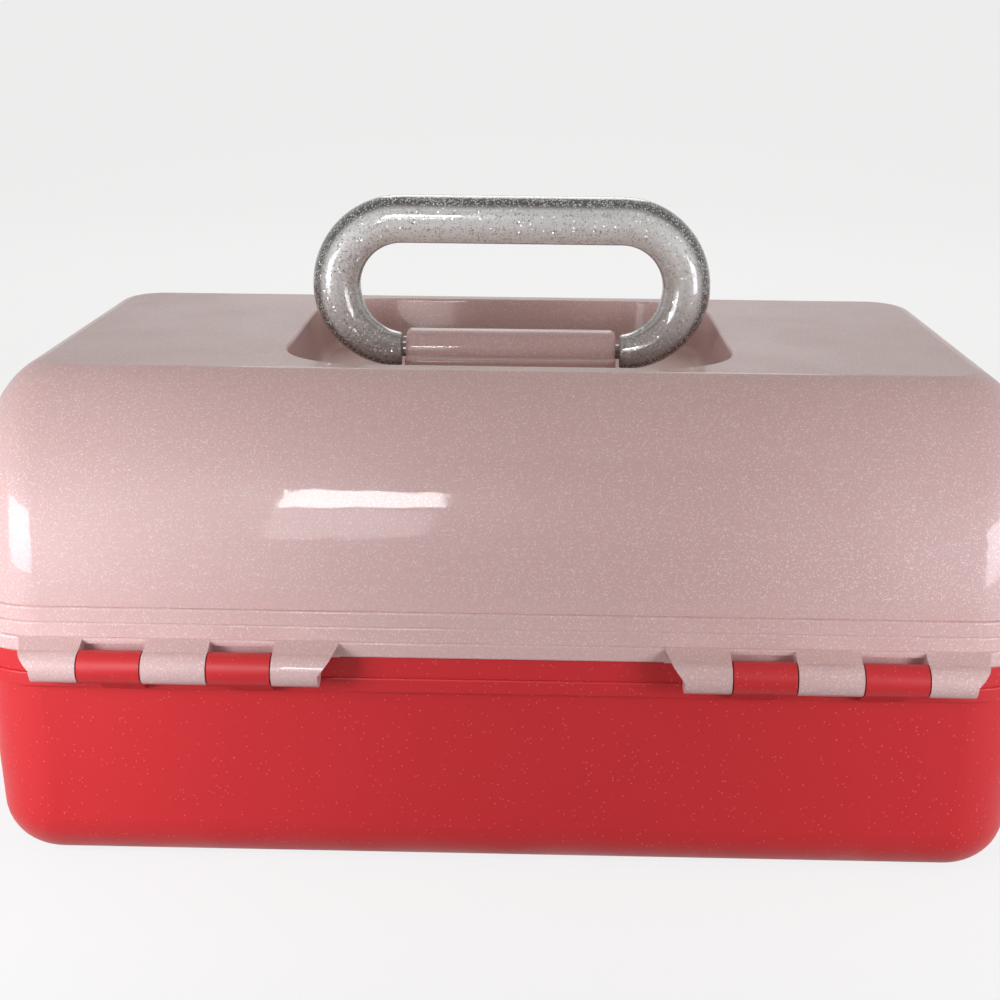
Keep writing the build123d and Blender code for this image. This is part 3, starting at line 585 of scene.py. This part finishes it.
daylight = (0.98, 0.98, 1.07)
end_lamp_size = (0.16, 0.14)
end_lamp_spread = radians(95)
soft_lamp("lamp_left", (0.31, 0.32, 0.15), (0.17, 0.1, 0.05), end_lamp_size, 0.36, daylight)
soft_lamp("lamp_right", (-0.34, 0.34, 0.15), (-0.18, 0.1, 0.05), end_lamp_size, 0.28, daylight)
for end_lamp in ("lamp_left", "lamp_right"):
    bpy.data.lights[end_lamp].spread = end_lamp_spread
soft_lamp("lamp_latch_side", (0, -1.3, 1.1), (0, 0, 0.08), (0.8, 0.8), 5.0)

# %% [markdown]
# The lid's gloss mirrors a window: a bright upper pane with a fainter one below it. These
# two lamps stand where the face mirrors them, a little to one side of its middle. They
# are there for the gloss alone, so they shed no light on the matt colours.

# %% Window
upper_aim = (0.045, 0.095, 0.118)
lower_aim = (0.045, 0.098, 0.108)
window_upper = soft_lamp("window_upper", (0.10, 0.58, 0.405), upper_aim, (0.105, 0.085), 1.0)
window_lower = soft_lamp("window_lower", (0.105, 0.58, 0.28), lower_aim, (0.10, 0.13), 0.22)
for pane in (window_upper, window_lower):
    pane.visible_diffuse = False
print("window panes: 2")

# %% [markdown]
# Glossy plastic needs something dark to mirror, or it looks chalky. In a room that is the
# photographer, who stands behind the camera and keeps some light off the middle of the
# face. An upright dark card does the same here. The camera never sees it.

# %% Dark card
card_half_x = 0.17
card_half_z = 0.45
mesh = bmesh.new()
corners = ((-1, -1), (1, -1), (1, 1), (-1, 1))
mesh.faces.new([mesh.verts.new((x * card_half_x, 0, z * card_half_z)) for x, z in corners])
card_sheet = bpy.data.meshes.new("card_photographer")
mesh.to_mesh(card_sheet)
mesh.free()
card_black = bpy.data.materials.new("card black")
card_black.use_nodes = True
matt = card_black.node_tree.nodes["Principled BSDF"]
matt.inputs["Base Color"].default_value = paint(60, 50, 45)
matt.inputs["Roughness"].default_value = 1.0
card_sheet.materials.append(card_black)
dark_card = bpy.data.objects.new("card_photographer", card_sheet)
dark_card.location = (-0.05, 0.60, 0.30)
dark_card.visible_camera = False
bpy.context.scene.collection.objects.link(dark_card)
print("dark card:", dark_card.name)

# %% [markdown]
# The world is a plain warm white. As with the backdrop, mirrors and clear plastic see it
# as bright as the camera does, while the light that it sheds on the case is weaker.

# %% World
world = bpy.data.worlds.new("studio air")
bpy.context.scene.world = world
world.use_nodes = True
tree = world.node_tree
air = tree.nodes["Background"]
air.inputs["Color"].default_value = (1.0, 0.955, 0.90, 1)
air.inputs["Strength"].default_value = 0.36
white_air = put(tree, "ShaderNodeBackground", 0, -200)
white_air.inputs["Color"].default_value = paint(243, 243, 243)
white_air.inputs["Strength"].default_value = 1.0
choose = put(tree, "ShaderNodeMixShader", 400, 100)
join(tree, seen_directly(tree, -700, 300), choose.inputs[0])
join(tree, air.outputs[0], choose.inputs[1])
join(tree, white_air.outputs[0], choose.inputs[2])
join(tree, choose.outputs[0], tree.nodes["World Output"].inputs[0])
print("world:", world.name)

# %% [markdown]
# ## Camera
# The picture looks at the hinge side from a little above, from half a metre behind the
# case. The camera's axes are worked out from three angles: it is turned slightly to one
# side, looks down, and is rolled by half a degree, as a hand-held camera is.

# %% Camera
camera_place = Vector((-0.0083, 0.5372, 0.2495))
camera_turn = radians(1.22)
camera_dip = radians(16.58)
camera_roll = radians(0.54)
focal_pixels = 1603.0
frame_pixels = 1000.0
right = Vector((-cos(camera_turn), -sin(camera_turn), 0))
level_ahead = Vector((sin(camera_turn), -cos(camera_turn), 0))
ahead = level_ahead * cos(camera_dip) - Vector((0, 0, 1)) * sin(camera_dip)
upward = level_ahead * sin(camera_dip) + Vector((0, 0, 1)) * cos(camera_dip)
rolled_right = right * cos(camera_roll) + upward * sin(camera_roll)
rolled_up = upward * cos(camera_roll) - right * sin(camera_roll)
lens = bpy.data.cameras.new("hinge side camera")
lens.sensor_width = 36.0
lens.lens = lens.sensor_width * focal_pixels / frame_pixels
lens.clip_start = 0.01
camera = bpy.data.objects.new("hinge_side_camera", lens)
axes = Matrix((rolled_right, rolled_up, -ahead)).transposed()
camera.matrix_world = Matrix.Translation(camera_place) @ axes.to_4x4()
bpy.context.scene.collection.objects.link(camera)
bpy.context.scene.camera = camera
bpy.context.scene.view_settings.view_transform = "Standard"
print("lens, mm:", round(lens.lens, 1))
